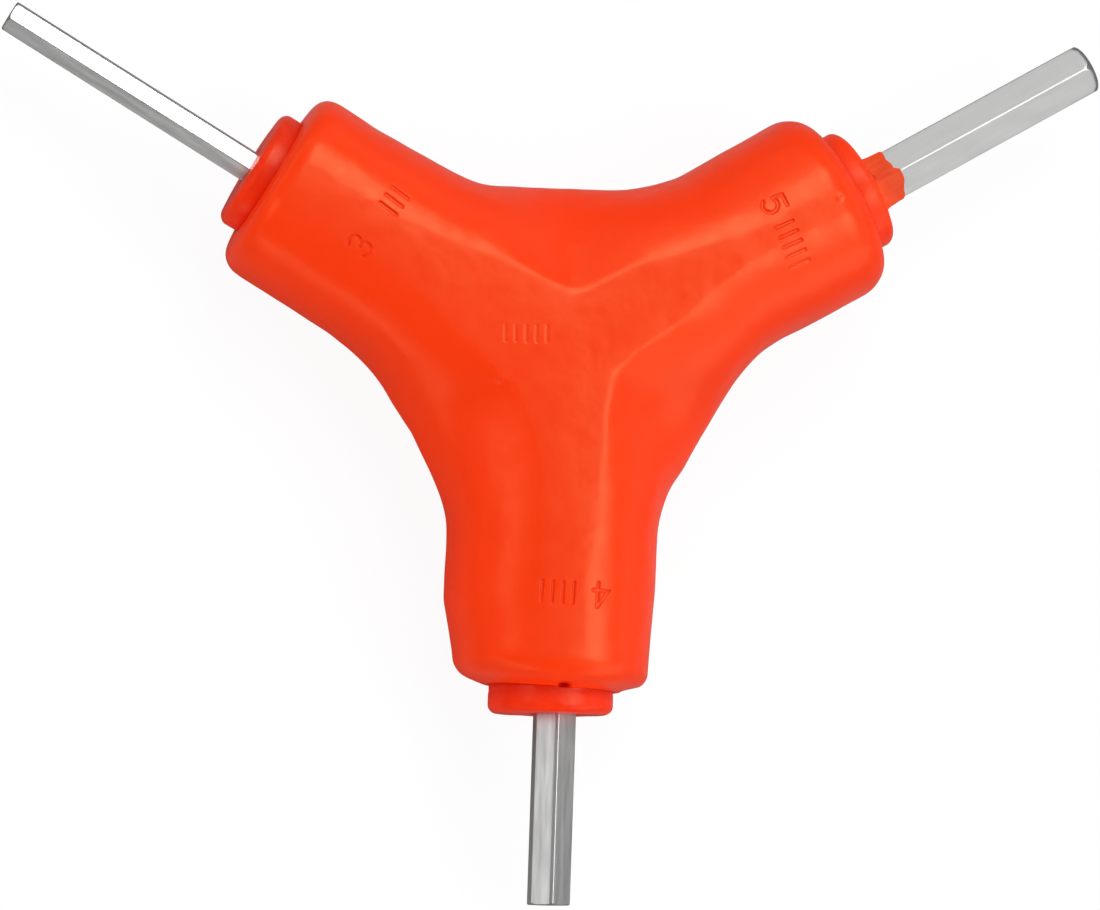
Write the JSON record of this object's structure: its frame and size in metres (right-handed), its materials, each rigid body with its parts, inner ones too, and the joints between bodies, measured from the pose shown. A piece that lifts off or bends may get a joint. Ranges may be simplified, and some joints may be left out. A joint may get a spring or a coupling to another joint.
{
  "type": "y wrench",
  "caption": "Y-shaped hand tool: hex keys of unlike size stand out of collars at the ends of a moulded plastic grip with round arms and a flat hub.",
  "frame": {"origin": "centre of the hub on the flat back face, where the tool rests on a bench", "axes": "+Z through the thickness, from the back face to the front face; the arms spread in the XY plane, with the large key at 30 degrees, the small key at 150 degrees and the middle key at 270 degrees from +X towards +Y; +X is the longest extent"},
  "size_m": [0.111, 0.0885, 0.0206],
  "materials": {
    "grip_plastic": "satin moulded",
    "collar_plastic": "satin moulded",
    "core_plastic": "as moulded",
    "plated_steel": "bright nickel plate over drawn bar"
  },
  "bodies": {
    "root": {"outer_grip": "grip_plastic", "inner_core": "core_plastic", "collar_3mm": "collar_plastic", "collar_4mm": "collar_plastic", "collar_5mm": "collar_plastic", "key_3mm": "plated_steel", "key_4mm": "plated_steel", "key_5mm": "plated_steel"}
  },
  "joints": []
}
